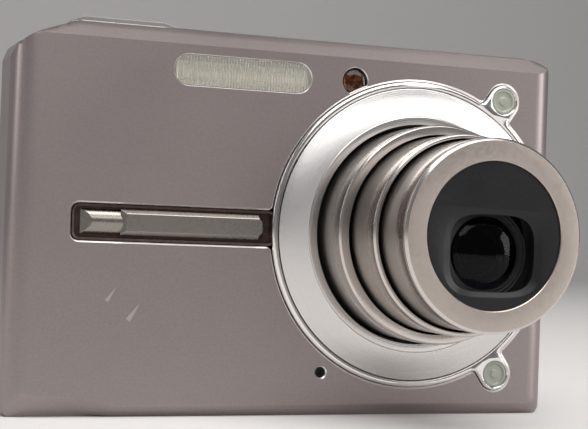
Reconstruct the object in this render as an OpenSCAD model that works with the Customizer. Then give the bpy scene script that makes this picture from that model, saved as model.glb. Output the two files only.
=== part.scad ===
// Compact digital camera with a three-stage telescoping lens.
// X runs along the width, +Y from the front panel to the back, +Z is up.
// The origin is the middle of the base, on the face the camera stands on.

/* [Body] */
// Width of the body
body_w = 90; // [88:0.5:94]
// Height of the covers, without the shutter button
body_h = 59; // [59:0.5:62]
// Depth between the flat front and the flat back
body_d = 14; // [14:0.1:15]
// Thickness of the metal covers
wall = 0.8; // [0.7:0.05:0.9]

/* [Lens] */
// Place of the barrels' centre across the body
lens_x = 20; // [19:0.1:20.5]
// Height of the barrels' centre
lens_z = 29; // [28.6:0.1:29.4]
// How far the optical axis lies below the barrels' centre
axis_drop = 2.5; // [2.2:0.1:2.6]
// Travel of each telescoping stage
stage_travel = 8.5; // [7.5:0.1:8.6]
// Outer radius of the outermost barrel
barrel_1_r = 17; // [16.9:0.05:17.05]

/* [Controls] */
// Width of the display's window
display_w = 49; // [47:0.5:49]
// Radius of the round keys on the back
key_r = 2.3; // [2.1:0.05:2.4]

/* [Hidden] */

$fn = 72;
hw = body_w / 2;
y_front = -body_d / 2;
y_back = body_d / 2;
seam_y = -3.6;            // where the front cover meets the rear cover
side_r = 3.6;             // rounding of the front cover's vertical edges, seen from above
back_r = 2.6;             // rounding of the rear cover's edges
bevel_top = 2.5;          // height and depth of the sloping face along the top edge
bevel_top_y = 2.4;
bevel_base = 1.7;         // the same along the base
bevel_base_y = 1.5;
top_r = 4.2;              // corner radii of the covers seen from the front
base_r = 1.4;
gap = 0.1;                // visible gap between fitted pieces
axis_z = lens_z - axis_drop;

// Front trim: the cut-out that the lens ring, its two lugs and the grip slot share
ring_r = 24.6;
rim_r = 24.45;
lug_angle = 56;
lug_dist = 27;
lug_r = 2.75;
lug_window_r = 2.1;
slot_x0 = -35.8;
slot_h = 5.6;
slot_floor_y = y_front + 1;
aperture_r = barrel_1_r + 0.5;

// Flash, lamp and microphone, as [x, z]
flash_c = [-9.85, 52.65];
flash_len = 22.2;
flash_r = 2.3;
lamp_c = [8.65, 52.85];
lamp_r = 2.15;
mic_c = [4.5, 6.8];

// Strip along the top, with the shutter button and the power button let into it
strip_x0 = -36.35;
strip_x1 = 40.7;
strip_y0 = y_front + bevel_top_y + 0.25;
strip_y1 = 3.1;
shutter_x0 = -35.15;
shutter_x1 = -19.75;
shutter_y0 = -3.75;
shutter_y1 = 2.15;
power_c = [-10.5, -0.8];
power_len = 6.1;
power_r = 1.6;

// Barrels at full extension: front faces, radii and lengths
barrel_r = [barrel_1_r, barrel_1_r - 1.85, barrel_1_r - 2.85];
barrel_wall = 0.6;
barrel_len = [10.6, 10.4, 9.6];
barrel_y = [for (k = [1:3]) -8.0 - 0.2 * (k - 1) - stage_travel * k];
front_y = barrel_y[2];
cap_t = 0.9;              // thickness of the ring that caps the last barrel
mask_r = 10.75;
window_w = 13.4;
window_h = 11.1;
window_r = 4;

// Zoom gear train
module_mm = 0.4;
ring_teeth = 92;
idler_teeth = 14;
pinion_teeth = 9;
gear_angle = 140;
backlash = 0.08;
ring_pitch_r = module_mm * ring_teeth / 2;
idler_pitch_r = module_mm * idler_teeth / 2;
pinion_pitch_r = module_mm * pinion_teeth / 2;
mesh_play = 0.04;         // extra distance between the centres of two gears
idler_dist = ring_pitch_r + idler_pitch_r + mesh_play;
pinion_dist = idler_dist + idler_pitch_r + pinion_pitch_r + mesh_play;
gear_y0 = 0.6;
gear_y1 = 2.2;
housing_r = 19.9;
housing_y1 = 2.8;         // inner face of the housing's back wall
housing_ears = [[-3.2, 50], [37.5, 50], [37.5, 9]];
shaft_r = 0.35;           // motor shaft and idler post

// Battery and card
bat = [33, 4.8, 50];
bat_o = [-41.9, -0.1, 2.6];
card = [24, 2.1, 32];
card_o = [-39, -3.1, 2.6];

// Battery door
door_x0 = -42.4;
door_x1 = -8.2;
door_y0 = -3.05;
hinge_y = 4.5;
hinge_z = 0.62;
hinge_r = 0.6;
hinge_pin_r = 0.4;

// Back panel
display_c = [17, 30];
display_h = 38;
pad_c = [-27, 25];
pad_r = 8.4;
set_r = 3;
menu_c = [-38, 11];
play_c = [-16, 43];
record_c = [-16, 11];
speaker_c = [35, 5.8];
rocker_c = [-32, 47.5];
rocker_w = 15;
rocker_h = 5;
rocker_pin_r = 0.25;

// Base
tripod_x = lens_x;
tripod_y = 1.2;
tripod_r = 3.175;
tripod_depth = 4.6;
tripod_outer_r = 4.2;
port_x = 5.5;
port_y = 0.8;

screw_r = 0.95;
base_screws = [[34, 1.2], [41, 1.2], [-3.4, 1.2]];
side_screws = [[1, 12], [1, 46]];

/* ---- helpers ---- */

// A flat shape in X and Z, extruded along Y from y0 to y1
module slab(y0, y1) {
  translate([0, y1, 0]) rotate([90, 0, 0]) linear_extrude(y1 - y0) children();
}

// A shape turned about an axis along Y through [x, z]; its profile is [radius, -y]
module turned(c) {
  translate([c[0], 0, c[1]]) rotate([90, 0, 0]) rotate_extrude() children();
}

module disc(c, r, y0, y1) {
  translate([c[0], y1, c[1]]) rotate([90, 0, 0]) cylinder(r = r, h = y1 - y0);
}

module ring(c, r_in, r_out, y0, y1) {
  difference() {
    disc(c, r_out, y0, y1);
    disc(c, r_in, y0 - 1, y1 + 1);
  }
}

module block(a, b) {
  translate(a) cube(b - a);
}

module round_rect(c, w, h, r) {
  translate(c) union() {
    square([w - 2 * r, h], center = true);
    square([w, h - 2 * r], center = true);
    for (i = [-1, 1], j = [-1, 1])
      translate([i * (w / 2 - r), j * (h / 2 - r)]) circle(r);
  }
}

module stadium(c, len, r) {
  translate(c) union() {
    square([len - 2 * r, 2 * r], center = true);
    for (i = [-1, 1]) translate([i * (len / 2 - r), 0]) circle(r);
  }
}

// What rounding takes off a square corner at p; sx and sy point out of the shape
module corner_off(p, r, sx, sy) {
  difference() {
    translate([p[0] - (sx > 0 ? r : 1), p[1] - (sy > 0 ? r : 1)]) square(r + 1);
    translate([p[0] - sx * r, p[1] - sy * r]) circle(r);
  }
}

// Covers from the front, in X and Z; "in" is how far inside the outer skin
module outline(in) {
  difference() {
    translate([-hw + in, in]) square([body_w - 2 * in, body_h - 2 * in]);
    translate([0.6 * in, -0.8 * in])
      polygon([[-35.2, body_h], [-41.3, body_h - 2.3], [-44, body_h - 3.8], [-hw, body_h - 6],
               [-hw - 3, body_h - 7], [-hw - 3, body_h + 3], [-35.2, body_h + 3]]);
    corner_off([hw - in, body_h - in], top_r - in, 1, 1);
    corner_off([hw - in, in], base_r - in / 2, 1, -1);
    corner_off([-hw + in, in], base_r - in / 2, -1, -1);
  }
}

// Covers from the side, in Y and Z
module side_profile(in) {
  b = 0.41 * in;
  difference() {
    polygon([[y_front + in, bevel_base + b], [y_front + bevel_base_y + b, in],
             [y_back - in, in], [y_back - in, body_h - in],
             [y_front + bevel_top_y + b, body_h - in], [y_front + in, body_h - bevel_top - b]]);
    corner_off([y_back - in, body_h - in], back_r - in, 1, 1);
    corner_off([y_back - in, in], back_r - in, 1, -1);
  }
}

// Covers from above, in X and Y
module plan_profile(in) {
  difference() {
    translate([-hw + in, y_front + in]) square([body_w - 2 * in, body_d - 2 * in]);
    for (s = [-1, 1]) {
      corner_off([s * (hw - in), y_front + in], side_r - in, s, -1);
      corner_off([s * (hw - in), y_back - in], back_r - in, s, 1);
    }
  }
}

module body_solid(in) {
  intersection() {
    slab(y_front - 1, y_back + 1) outline(in);
    translate([-hw - 1, 0, 0]) rotate([90, 0, 90]) linear_extrude(body_w + 2) side_profile(in);
    linear_extrude(body_h + 1) plan_profile(in);
  }
}

// A neck reaching out of the lens ring along +X, with fillets where it leaves the ring
module neck(x0, x1, h, rf, r) {
  cx = sqrt((r + rf) * (r + rf) - (h + rf) * (h + rf));
  translate([x0, -h]) square([x1 - x0, 2 * h]);
  for (s = [-1, 1])
    difference() {
      polygon([[cx, s * (h - 0.5)], [cx, s * h], [cx * r / (r + rf), s * (h + rf) * r / (r + rf)],
               [x0, s * (h - 0.5)]]);
      translate([cx, s * (h + rf)]) circle(rf);
    }
}

// The lug beside the lens ring, on either side of the level line
module lug_shape(side, grow = 0) {
  translate([lens_x, lens_z]) rotate(side * lug_angle) {
    translate([lug_dist, 0]) circle(lug_r + grow);
    neck(lug_dist - 6, lug_dist, lug_r + grow, 0.8 - grow, ring_r + grow);
  }
}

module slot_shape(grow = 0) {
  h = slot_h / 2 + grow;
  x1 = lens_x - slot_x0 + grow;
  translate([lens_x, lens_z]) rotate(180)
    difference() {
      neck(ring_r - 3, x1, h, 0.9 - grow, ring_r + grow);
      corner_off([x1, h], 1.4 + grow, 1, 1);
      corner_off([x1, -h], 1.4 + grow, 1, -1);
    }
}

module trim_shape(grow = 0) {
  translate([lens_x, lens_z]) circle(ring_r + grow);
  for (s = [-1, 1]) lug_shape(s, grow);
  slot_shape(grow);
}

// Involute gear outline
function inv_pt(rb, t) = rb * [cos(t) + t * PI / 180 * sin(t), sin(t) - t * PI / 180 * cos(t)];
function inv_angle(rb, r) = let (t = sqrt(max(0, r * r / rb / rb - 1)) * 180 / PI)
  atan2(inv_pt(rb, t)[1], inv_pt(rb, t)[0]);
function flank(m, z, backlash, side, k, rot) =
  let (rp = m * z / 2, rb = rp * cos(22), ra = rp + 0.9 * m,
       half = 90 / z - backlash / rp * 28.65 + inv_angle(rb, rp))
  [for (i = [0:4])
    let (j = side < 0 ? i : 4 - i, r = max(rb, rp - 0.6 * m) + (ra - max(rb, rp - 0.6 * m)) * j / 4,
         a = rot + 360 * k / z + side * (half - inv_angle(rb, r)))
    r * [cos(a), sin(a)]];
function gear_points(m, z, backlash, rot) =
  let (rr = m * z / 2 - 1.2 * m)
  [for (k = [0:z - 1]) each concat(
    [rr * [cos(rot + 360 * (k - 0.25) / z), sin(rot + 360 * (k - 0.25) / z)]],
    flank(m, z, backlash, -1, k, rot), flank(m, z, backlash, 1, k, rot),
    [rr * [cos(rot + 360 * (k + 0.25) / z), sin(rot + 360 * (k + 0.25) / z)]])];

function polar(c, d, a) = [c[0] + d * cos(a), c[1] + d * sin(a)];
lens_c = [lens_x, lens_z];
idler_c = polar(lens_c, idler_dist, gear_angle);
pinion_c = polar(lens_c, pinion_dist, gear_angle);

/* ---- casing ---- */

module front_cover() color([0.62, 0.56, 0.57]) {
  difference() {
    body_solid(0);
    body_solid(wall);
    block([-hw - 1, seam_y - gap / 2, -1], [hw + 1, y_back + 1, body_h + 1]);
    slab(y_front - 1, y_front + 2) trim_shape(0);
    slab(y_front - 1, y_front + 2) stadium(flash_c, flash_len, flash_r + 0.05);
    disc(lamp_c, lamp_r, y_front - 1, y_front + 2);
    disc(mic_c, 0.75, y_front - 1, y_front + 2);
    disc(mic_c, 1.1, y_front - 1, y_front + 0.12);
    thumb_bevel();
    block([strip_x0 - 0.15, strip_y0 - 0.1, body_h - 2], [strip_x1 + 0.2, 0, body_h + 1]);
  }
}

// Taller sloping face at the left end of the base
module thumb_bevel() {
  hull() {
    translate([-hw - 1, 0, 0]) rotate([90, 0, 90]) linear_extrude(hw + 1 - 34.2)
      polygon([[y_front - 1, 0], [y_front - 1, 4.6], [y_front, 3.1], [y_front + 2, 0]]);
    translate([-28.6, 0, 0]) rotate([90, 0, 90]) linear_extrude(0.02)
      polygon([[y_front - 1, 0], [y_front - 1, bevel_base + 1], [y_front, bevel_base],
               [y_front + bevel_base_y, 0]]);
  }
}

module rear_cover() color([0.6, 0.55, 0.56]) {
  difference() {
    union() {
      difference() {
        body_solid(0);
        block([-hw - 1, y_front - 1, -1], [hw + 1, seam_y + gap / 2, body_h + 1]);
        difference() {
          body_solid(wall);
          // the strap recess and the screw bosses stay solid
          block([hw - 3.4, 2.2, 25.4], [hw, 6.4, 34.6]);
          for (p = base_screws) translate([p[0], p[1], 0]) cylinder(r = 1.9, h = 3);
          for (p = side_screws)
            translate([hw - 3, p[0], p[1]]) rotate([0, 90, 0]) cylinder(r = 1.9, h = 3);
        }
      }
      // ears for the battery door's pins
      for (x = [door_x0 - 1.1, door_x1 + 0.3]) block([x, 3.7, 0.4], [x + 0.8, 5.3, 1.7]);
    }
    block([strip_x0 - 0.15, seam_y - 1, body_h - 2], [strip_x1 + 0.2, strip_y1 + 0.1, body_h + 1]);
    block([door_x0 - 0.2, door_y0 - 0.15, -1], [door_x1 + 0.2, hinge_y + hinge_r + 0.2, 1.2]);
    translate([door_x0 - 1.5, hinge_y, hinge_z]) rotate([0, 90, 0])
      cylinder(r = hinge_pin_r + 0.05, h = door_x1 - door_x0 + 3);
    translate([tripod_x, tripod_y, -1]) cylinder(r = tripod_outer_r + 0.1, h = 3);
    slab(port_y - 2.2, port_y + 2.2) translate([port_x, 0]) square([12.8, 2.6], center = true);
    slab(y_back - 3, y_back + 1) round_rect(display_c, display_w + 0.2, display_h + 0.2, 1.6);
    disc(pad_c, pad_r + 0.35, y_back - 3, y_back + 1);
    for (c = [menu_c, play_c, record_c]) disc(c, key_r + 0.15, y_back - 3, y_back + 1);
    slab(y_back - 3, y_back + 1) round_rect(rocker_c, rocker_w + 0.6, rocker_h + 0.5, 2.4);
    rocker_axle(rocker_pin_r + 0.05, 0.7);
    for (i = [-1:1], j = [0, 1])
      disc([speaker_c[0] + 1.6 * i, speaker_c[1] + 1.6 * (j - 0.5)], 0.35, y_back - 3, y_back + 1);
    // strap slot
    block([hw - 2.6, 3.2, 26.2], [hw + 1, 8, 33.8]);
    translate([hw - 1.2, 4.6, 25]) cylinder(r = 0.62, h = 10);
    for (p = base_screws) {
      translate([p[0], p[1], -1]) cylinder(r = 1.35, h = 1.6);
      translate([p[0], p[1], -1]) cylinder(r = screw_r, h = 5);
    }
    for (p = side_screws) {
      translate([hw - 0.6, p[0], p[1]]) rotate([0, 90, 0]) cylinder(r = 1.35, h = 2);
      translate([hw - 4, p[0], p[1]]) rotate([0, 90, 0]) cylinder(r = screw_r, h = 5);
    }
  }
}

module top_plate() color([0.86, 0.85, 0.84]) {
  difference() {
    hull() {
      block([strip_x0, strip_y0, body_h - 0.6], [strip_x1, strip_y1, body_h + 0.02]);
      block([strip_x0 + 0.25, strip_y0 + 0.25, body_h], [strip_x1 - 0.3, strip_y1 - 0.2, body_h + 0.18]);
    }
    block([shutter_x0 - 0.15, shutter_y0 - 0.2, body_h - 2], [shutter_x1 + 0.15, shutter_y1 + 0.2, body_h + 1]);
    translate([0, 0, body_h - 2]) linear_extrude(4) stadium(power_c, power_len + 0.3, power_r + 0.15);
    // index groove between the control end and the plain end
    block([-3.5, -8, body_h + 0.05], [-3.2, 8, body_h + 1]);
  }
}

module chassis() color([0.72, 0.73, 0.74]) {
  difference() {
    union() {
      block([-7.6, 4.05, 3], [41.6, 4.45, 56]);
      block([-38, -1.7, 54.2], [-0.5, 4.45, 54.6]);
      block([tripod_x - 7, -3, 5.3], [tripod_x + 7, 4.45, 5.8]);
    }
    translate([tripod_x, tripod_y, 0]) cylinder(r = 3.4, h = 8);
    translate([tripod_x, tripod_y, 0]) cylinder(r = tripod_outer_r + 0.1, h = 5.27);
    for (c = housing_ears) disc(c, 0.7, 3, 5);
    slab(3, 5) round_rect([lens_x, axis_z], 8, 7, 1);
  }
}

/* ---- front trim ---- */

module trim_plate() color([0.8, 0.79, 0.78]) {
  difference() {
    union() {
      slab(y_front - 0.05, y_front + 0.8) trim_shape(-0.12);
      ring(lens_c, 23.5, rim_r, y_front - 0.4, y_front);
      for (s = [-1, 1])
        slab(y_front - 0.35, y_front) intersection() {
          lug_shape(s, -0.15);
          difference() {
            translate([lens_x - 40, lens_z - 40]) square(80);
            translate(lens_c) circle(rim_r - 0.3, $fn = 120);
          }
        }
      slab(slot_floor_y - 0.6, slot_floor_y + 0.4) slot_shape(-0.15);
    }
    disc(lens_c, 20, y_front - 1, y_front + 3);
    slab(y_front - 1, slot_floor_y) intersection() {
      slot_shape(-0.4);
      translate([slot_x0, lens_z - 5]) square([lens_x - rim_r - slot_x0 + 0.1, 10]);
    }
    for (s = [-1, 1])
      disc(polar(lens_c, lug_dist, s * lug_angle), lug_window_r + 0.05, y_front - 1, y_front + 3);
  }
}

module lens_ring() color([0.88, 0.87, 0.86])
  turned(lens_c)
    polygon([[aperture_r, 8.5], [18.8, 8.5], [23.4, 7.35], [23.4, 7.08], [19.9, 7.08],
             [19.9, 6.2], [aperture_r, 6.2]]);

module grip_bar() color([0.55, 0.53, 0.51]) {
  zc = lens_z + 0.1;
  y1 = slot_floor_y - 0.01;
  crest = y_front + 0.1;
  // long flat part, its four sides sloping
  intersection() {
    slab(y_front - 0.3, y1)
      polygon([[-28.3, zc - 1.9], [-6.6, zc - 1.9], [-5.5, zc - 0.8], [-5.5, zc + 0.8],
               [-6.6, zc + 1.9], [-28.3, zc + 1.9]]);
    translate([-29, 0, zc]) rotate([90, 0, 90]) linear_extrude(25)
      polygon([[y_front - 0.25, -1.3], [y_front + 0.35, -1.9], [y1, -1.9], [y1, 1.9],
               [y_front + 0.35, 1.9], [y_front - 0.25, 1.3]]);
    translate([0, 0, zc - 2]) linear_extrude(4)
      polygon([[-28.3, y1], [-28.3, y_front + 0.35], [-27.5, y_front - 0.25],
               [-6.1, y_front - 0.25], [-5.5, y_front + 0.35], [-5.5, y1]]);
  }
  // short round part, its left end sloping
  intersection() {
    translate([-34.4, crest + 2.5, zc]) rotate([0, 90, 0]) cylinder(r = 2.5, h = 6.6);
    translate([0, 0, zc - 1.85]) linear_extrude(3.7)
      polygon([[-34.3, y1], [-34.3, y_front + 0.9], [-32.3, crest], [-27.9, crest], [-27.9, y1]]);
  }
}

module lug_windows() color([0.8, 0.82, 0.78, 0.6])
  for (s = [-1, 1])
    turned(polar(lens_c, lug_dist, s * lug_angle))
      polygon([[0, 7.2], [0.7, 7.2], [0.9, 7.05], [1.5, 7.05], [lug_window_r, 7.3],
               [lug_window_r, 6.4], [0, 6.4]]);

/* ---- flash, lamp and sound ---- */

module flash_window() color([0.95, 0.93, 0.85, 0.6])
  difference() {
    slab(y_front + 0.02, y_front + 1) stadium(flash_c, flash_len - 0.1, flash_r - 0.02);
    // ribs on the inner face
    for (k = [-11:11])
      translate([flash_c[0] + 0.9 * k, y_front + 1, flash_c[1] - 3])
        cylinder(r = 0.28, h = 6, $fn = 4);
  }

module flash_reflector() color([0.9, 0.9, 0.88])
  difference() {
    block([flash_c[0] - 10.6, y_front + 1.05, flash_c[1] - 2.2],
          [flash_c[0] + 10.6, -2.1, flash_c[1] + 1.5]);
    translate([flash_c[0] - 10.2, 0, flash_c[1]]) rotate([90, 0, 90]) linear_extrude(20.4)
      union() {
        translate([-4.1, 0]) circle(1.35, $fn = 48);
        polygon([[-4.1, -1.3], [-4.1, 1.3], [y_front - 1, 1.9], [y_front - 1, -1.9]]);
      }
  }

module flash_tube() color([0.85, 0.88, 0.9, 0.5])
  union() {
    translate([flash_c[0] - 9.6, -4.1, flash_c[1]]) rotate([0, 90, 0]) cylinder(r = 0.8, h = 19.2);
    for (s = [-1, 1])
      translate([flash_c[0] + s * 9.65 - 0.4, -4.1, flash_c[1]]) rotate([0, 90, 0])
        cylinder(r = 0.95, h = 0.8);
  }

module flash_capacitor() color([0.12, 0.13, 0.2])
  translate([-4.2, -0.8, 9]) union() {
    cylinder(r = 3.6, h = 27);
    translate([0, 0, 27]) cylinder(r = 3.2, h = 0.6);
    for (s = [-1, 1]) translate([s * 1.6, 0, 27.6]) cylinder(r = 0.3, h = 2.4, $fn = 24);
  }

module lamp_window() color([0.45, 0.3, 0.12])
  difference() {
    union() {
      disc(lamp_c, lamp_r - 0.06, y_front + 0.1, y_front + 1.1);
      disc(lamp_c, 1.4, y_front + 1.1, -4.4);
    }
    disc(lens_c, ring_r + 0.1, y_front - 1, 0);
  }

module microphone() color([0.75, 0.73, 0.68])
  difference() {
    disc(mic_c, 2, y_front + 0.95, -4.5);
    disc(mic_c, 0.5, y_front, -5.6);
  }

module speaker() color([0.2, 0.2, 0.21])
  difference() {
    disc(speaker_c, 3.4, 4.6, 6.1);
    disc(speaker_c, 2.8, 5.8, 7);
  }

/* ---- lens unit ---- */

module lens_housing() color([0.16, 0.16, 0.17]) {
  difference() {
    union() {
      ring(lens_c, 19.1, housing_r, -6.1, housing_y1 + 0.6);
      disc(lens_c, housing_r, housing_y1, housing_y1 + 0.6);
      for (c = housing_ears)
        slab(housing_y1, housing_y1 + 0.6) difference() {
          hull() {
            translate(c) circle(1.6, $fn = 32);
            translate(lens_c) circle(8, $fn = 32);
          }
          translate(lens_c) circle(housing_r - 0.4);
        }
      // arm that carries the motor and the idler
      slab(housing_y1, housing_y1 + 0.6) hull() {
        translate(idler_c) circle(3, $fn = 32);
        translate(pinion_c) circle(3.4, $fn = 32);
        translate(lens_c) circle(3, $fn = 32);
      }
    }
    // space for the idler where it meets the cam ring
    disc(idler_c, idler_pitch_r + 0.75, gear_y0 - 0.3, housing_y1);
    for (c = housing_ears) disc(c, 0.7, 0, 5);
    slab(0, 5) round_rect([lens_x, axis_z], 9, 8, 0.6);
    disc(pinion_c, shaft_r + 0.07, 2, 5);
  }
  // post the idler turns on
  disc(idler_c, shaft_r, gear_y0 + 0.1, housing_y1 + 0.1);
}

module light_seal() color([0.05, 0.05, 0.05])
  ring(lens_c, barrel_1_r + 0.15, 19.7, -6.19, -6.12);

module image_sensor() color([0.1, 0.12, 0.2])
  union() {
    slab(housing_y1 - 0.3, housing_y1 + 0.62) round_rect([lens_x, axis_z], 8.6, 7.6, 0.4);
    slab(housing_y1 - 0.7, housing_y1 - 0.3) round_rect([lens_x, axis_z], 7.2, 6, 0.2);
  }

module sensor_board() color([0.1, 0.35, 0.2])
  slab(housing_y1 + 0.65, housing_y1 + 1.1) round_rect([lens_x, axis_z], 16, 13, 1);

module focus_lens() color([0.7, 0.8, 0.85, 0.4])
  turned([lens_x, axis_z])
    polygon([[0, -0.3], [2, -0.4], [4, -0.8], [4, -1.7], [0, -1.7]]);

module zoom_motor() color([0.7, 0.7, 0.68])
  difference() {
    union() {
      disc(pinion_c, 3, -6, gear_y0 - 0.35);
      disc(pinion_c, 1, gear_y0 - 0.35, gear_y0 - 0.2);
    }
    disc(pinion_c, shaft_r + 0.07, -2, 3);
  }

module cam_ring() color([0.25, 0.25, 0.26])
  difference() {
    union() {
      disc(lens_c, 17.92, -5, housing_y1 - 0.2);
      slab(gear_y0, gear_y1) intersection() {
        translate(lens_c) polygon(gear_points(module_mm, ring_teeth, backlash, gear_angle));
        // toothed sector
        translate(lens_c) rotate(gear_angle)
          polygon([[0, 0], polar([0, 0], 40, -95), polar([0, 0], 40, -45), polar([0, 0], 40, 0),
                   polar([0, 0], 40, 25)]);
      }
    }
    disc(lens_c, barrel_1_r + 0.25, -8, 5);
  }

module idler_gear() color([0.85, 0.84, 0.78])
  difference() {
    slab(gear_y0 + 0.1, gear_y1 - 0.1) translate(idler_c)
      polygon(gear_points(module_mm, idler_teeth, backlash, gear_angle + 180 + 180 / idler_teeth));
    disc(idler_c, shaft_r + 0.07, -5, 5);
  }

// The pinion and the motor's shaft turn as one
module motor_pinion() color([0.78, 0.66, 0.35])
  union() {
    slab(gear_y0, gear_y1) translate(pinion_c)
      polygon(gear_points(module_mm, pinion_teeth, backlash, gear_angle + 180));
    disc(pinion_c, shaft_r, -1.8, housing_y1 + 0.5);
  }

// A barrel: k is 0 for the outermost. Its front edge turns inwards to close on the next one.
module barrel(k, lip_r) {
  r = barrel_r[k];
  y = barrel_y[k];
  len = barrel_len[k];
  turned(lens_c)
    polygon([[r - 0.25, -y], [r, -y - 0.25], [r, -y - 3.2], [r - 0.06, -y - 3.25],
             [r - 0.06, -y - len], [r - barrel_wall, -y - len], [r - barrel_wall, -y - 0.7],
             [lip_r, -y - 0.7], [lip_r, -y]]);
}

module barrel_1() color([0.72, 0.69, 0.66]) barrel(0, barrel_r[1] + 0.2);

module barrel_2() color([0.72, 0.69, 0.66]) barrel(1, barrel_r[2] + 0.2);

module barrel_3() color([0.72, 0.69, 0.66])
  turned(lens_c)
    polygon([[barrel_r[2] - 0.05, -front_y - cap_t], [barrel_r[2], -front_y - cap_t - 0.05],
             [barrel_r[2], -front_y - 3.4], [barrel_r[2] - 0.06, -front_y - 3.45],
             [barrel_r[2] - 0.06, -front_y - barrel_len[2]],
             [barrel_r[2] - barrel_wall, -front_y - barrel_len[2]],
             [barrel_r[2] - barrel_wall, -front_y - cap_t]]);

module front_ring() color([0.8, 0.76, 0.72])
  turned(lens_c)
    polygon([[mask_r + 0.03, -front_y], [barrel_r[2] - 0.3, -front_y],
             [barrel_r[2], -front_y - 0.3], [barrel_r[2], -front_y - cap_t + 0.02],
             [mask_r + 0.03, -front_y - cap_t + 0.02]]);

module window_shape(grow) {
  round_rect([lens_x, axis_z], window_w + 2 * grow, window_h + 2 * grow, window_r + grow);
}

module lens_mask() color([0.06, 0.06, 0.07])
  difference() {
    union() {
      disc(lens_c, mask_r, front_y + 0.25, front_y + 0.9);
      disc(lens_c, barrel_r[2] - barrel_wall - 0.02, front_y + 0.92, front_y + 1.3);
      disc(lens_c, mask_r - 1, front_y + 0.8, front_y + 1);
    }
    slab(front_y - 1, front_y + 2) window_shape(0);
    hull() {
      slab(front_y + 0.1, front_y + 0.25) window_shape(1.0);
      slab(front_y + 0.9, front_y + 0.95) window_shape(0.02);
    }
  }

// A shutter blade is the part of a disc beyond a straight edge
module barrier(side, edge_z) {
  slab(front_y + 1.4, front_y + 1.65) intersection() {
    translate(lens_c) circle(barrel_r[2] - barrel_wall - 0.35, $fn = 72);
    translate([lens_x - 20, side > 0 ? edge_z : edge_z - 40]) square(40);
  }
}

barrier_edge = window_h / 2 + 0.35;
module barrier_upper() color([0.1, 0.1, 0.11]) barrier(1, axis_z + barrier_edge);

module barrier_lower() color([0.1, 0.1, 0.11]) barrier(-1, axis_z - barrier_edge);

module front_lens() color([0.25, 0.3, 0.4, 0.4])
  turned([lens_x, axis_z])
    polygon([[0, -front_y - 2.3], [2, -front_y - 2.42], [4, -front_y - 2.8],
             [5.4, -front_y - 3.4], [5.4, -front_y - 4.6], [0, -front_y - 4.6]]);

module lens_cell() color([0.08, 0.08, 0.09])
  difference() {
    union() {
      disc(lens_c, barrel_r[2] - barrel_wall - 0.03, front_y + 3.9, front_y + 4.6);
      disc([lens_x, axis_z], 6.6, front_y + 2.9, front_y + 6.4);
    }
    disc([lens_x, axis_z], 5.45, front_y + 2, front_y + 4.62);
    disc([lens_x, axis_z], 4.6, front_y + 2, front_y + 9);
  }

/* ---- electronics and power ---- */

module main_board() color([0.08, 0.32, 0.2])
  difference() {
    slab(-5.4, -4.9) round_rect([-25, 24], 34, 42, 1);
    for (c = [[-40.4, 43.6], [-9.6, 43.6], [-9.6, 4.4]]) disc(c, 0.8, -6, -4);
  }

module board_chips() color([0.12, 0.12, 0.13]) {
  block([-33, -4.88, 37.4], [-24, -3.9, 44]);
  block([-22, -4.88, 37.6], [-15, -4.0, 43]);
  block([-12.6, -4.88, 22], [-9.4, -3.6, 32]);
  block([-12.6, -4.88, 9], [-9.4, -4.0, 16]);
}

module card_slot() color([0.75, 0.76, 0.77])
  difference() {
    block([card_o[0] - 0.7, card_o[1] - 0.25, 4], [card_o[0] + card[0] + 0.7, card_o[1] + card[1] + 0.25, 36]);
    block([card_o[0] - 0.15, card_o[1] - 0.08, 0], [card_o[0] + card[0] + 0.15, card_o[1] + card[1] + 0.08, 35.2]);
  }

module memory_card() color([0.1, 0.15, 0.35])
  translate([0, card_o[1], 0]) rotate([90, 0, 0]) translate([0, 0, -card[1]])
    linear_extrude(card[1])
      polygon([[card_o[0], card_o[2]], [card_o[0] + card[0], card_o[2]],
               [card_o[0] + card[0], card_o[2] + card[2]],
               [card_o[0] + 4, card_o[2] + card[2]], [card_o[0], card_o[2] + card[2] - 4]]);

module battery_box() color([0.15, 0.15, 0.16])
  difference() {
    block([bat_o[0] - 0.7, bat_o[1] - 0.5, 1.9],
          [bat_o[0] + bat[0] + 0.7, bat_o[1] + bat[1] + 0.45, bat_o[2] + bat[2] + 0.9]);
    block([bat_o[0] - 0.2, bat_o[1] - 0.15, 0],
          [bat_o[0] + bat[0] + 0.2, bat_o[1] + bat[1] + 0.12, bat_o[2] + bat[2] + 0.45]);
    // notch for the stopper
    block([-9.5, 0.6, 0], [-6, 4, 2.55]);
  }

module battery() color([0.2, 0.22, 0.26])
  translate(bat_o) union() {
    block([0, 0, 0.4], [bat[0], bat[1], bat[2]]);
    block([0.4, 0.3, 0], [bat[0] - 0.4, bat[1] - 0.3, 0.4]);
  }

module battery_contacts() color([0.85, 0.7, 0.35])
  for (k = [0:2])
    block([-36 + 4 * k, 1, bat_o[2] + bat[2] + 0.02], [-34 + 4 * k, 3.6, bat_o[2] + bat[2] + 0.42]);

module tripod_socket() color([0.75, 0.75, 0.74])
  difference() {
    translate([tripod_x, tripod_y, 0.02]) cylinder(r = tripod_outer_r, h = 5.2);
    translate([tripod_x, tripod_y, -1]) cylinder(r = tripod_r, h = 1 + tripod_depth + 0.02);
  }

module cradle_connector() color([0.12, 0.12, 0.13])
  difference() {
    block([port_x - 6.2, port_y - 2, 0.2], [port_x + 6.2, port_y + 2, 5]);
    block([port_x - 5.6, port_y - 1.5, -1], [port_x + 5.6, port_y + 1.5, 3.8]);
  }

module display_panel() color([0.16, 0.17, 0.2])
  block([display_c[0] - 24, 4.6, display_c[1] - 18.6], [display_c[0] + 24, 6, display_c[1] + 18.6]);

module display_window() color([0.1, 0.1, 0.12])
  slab(y_back - 0.7, y_back + 0.3) round_rect(display_c, display_w, display_h, 1.5);

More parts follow.
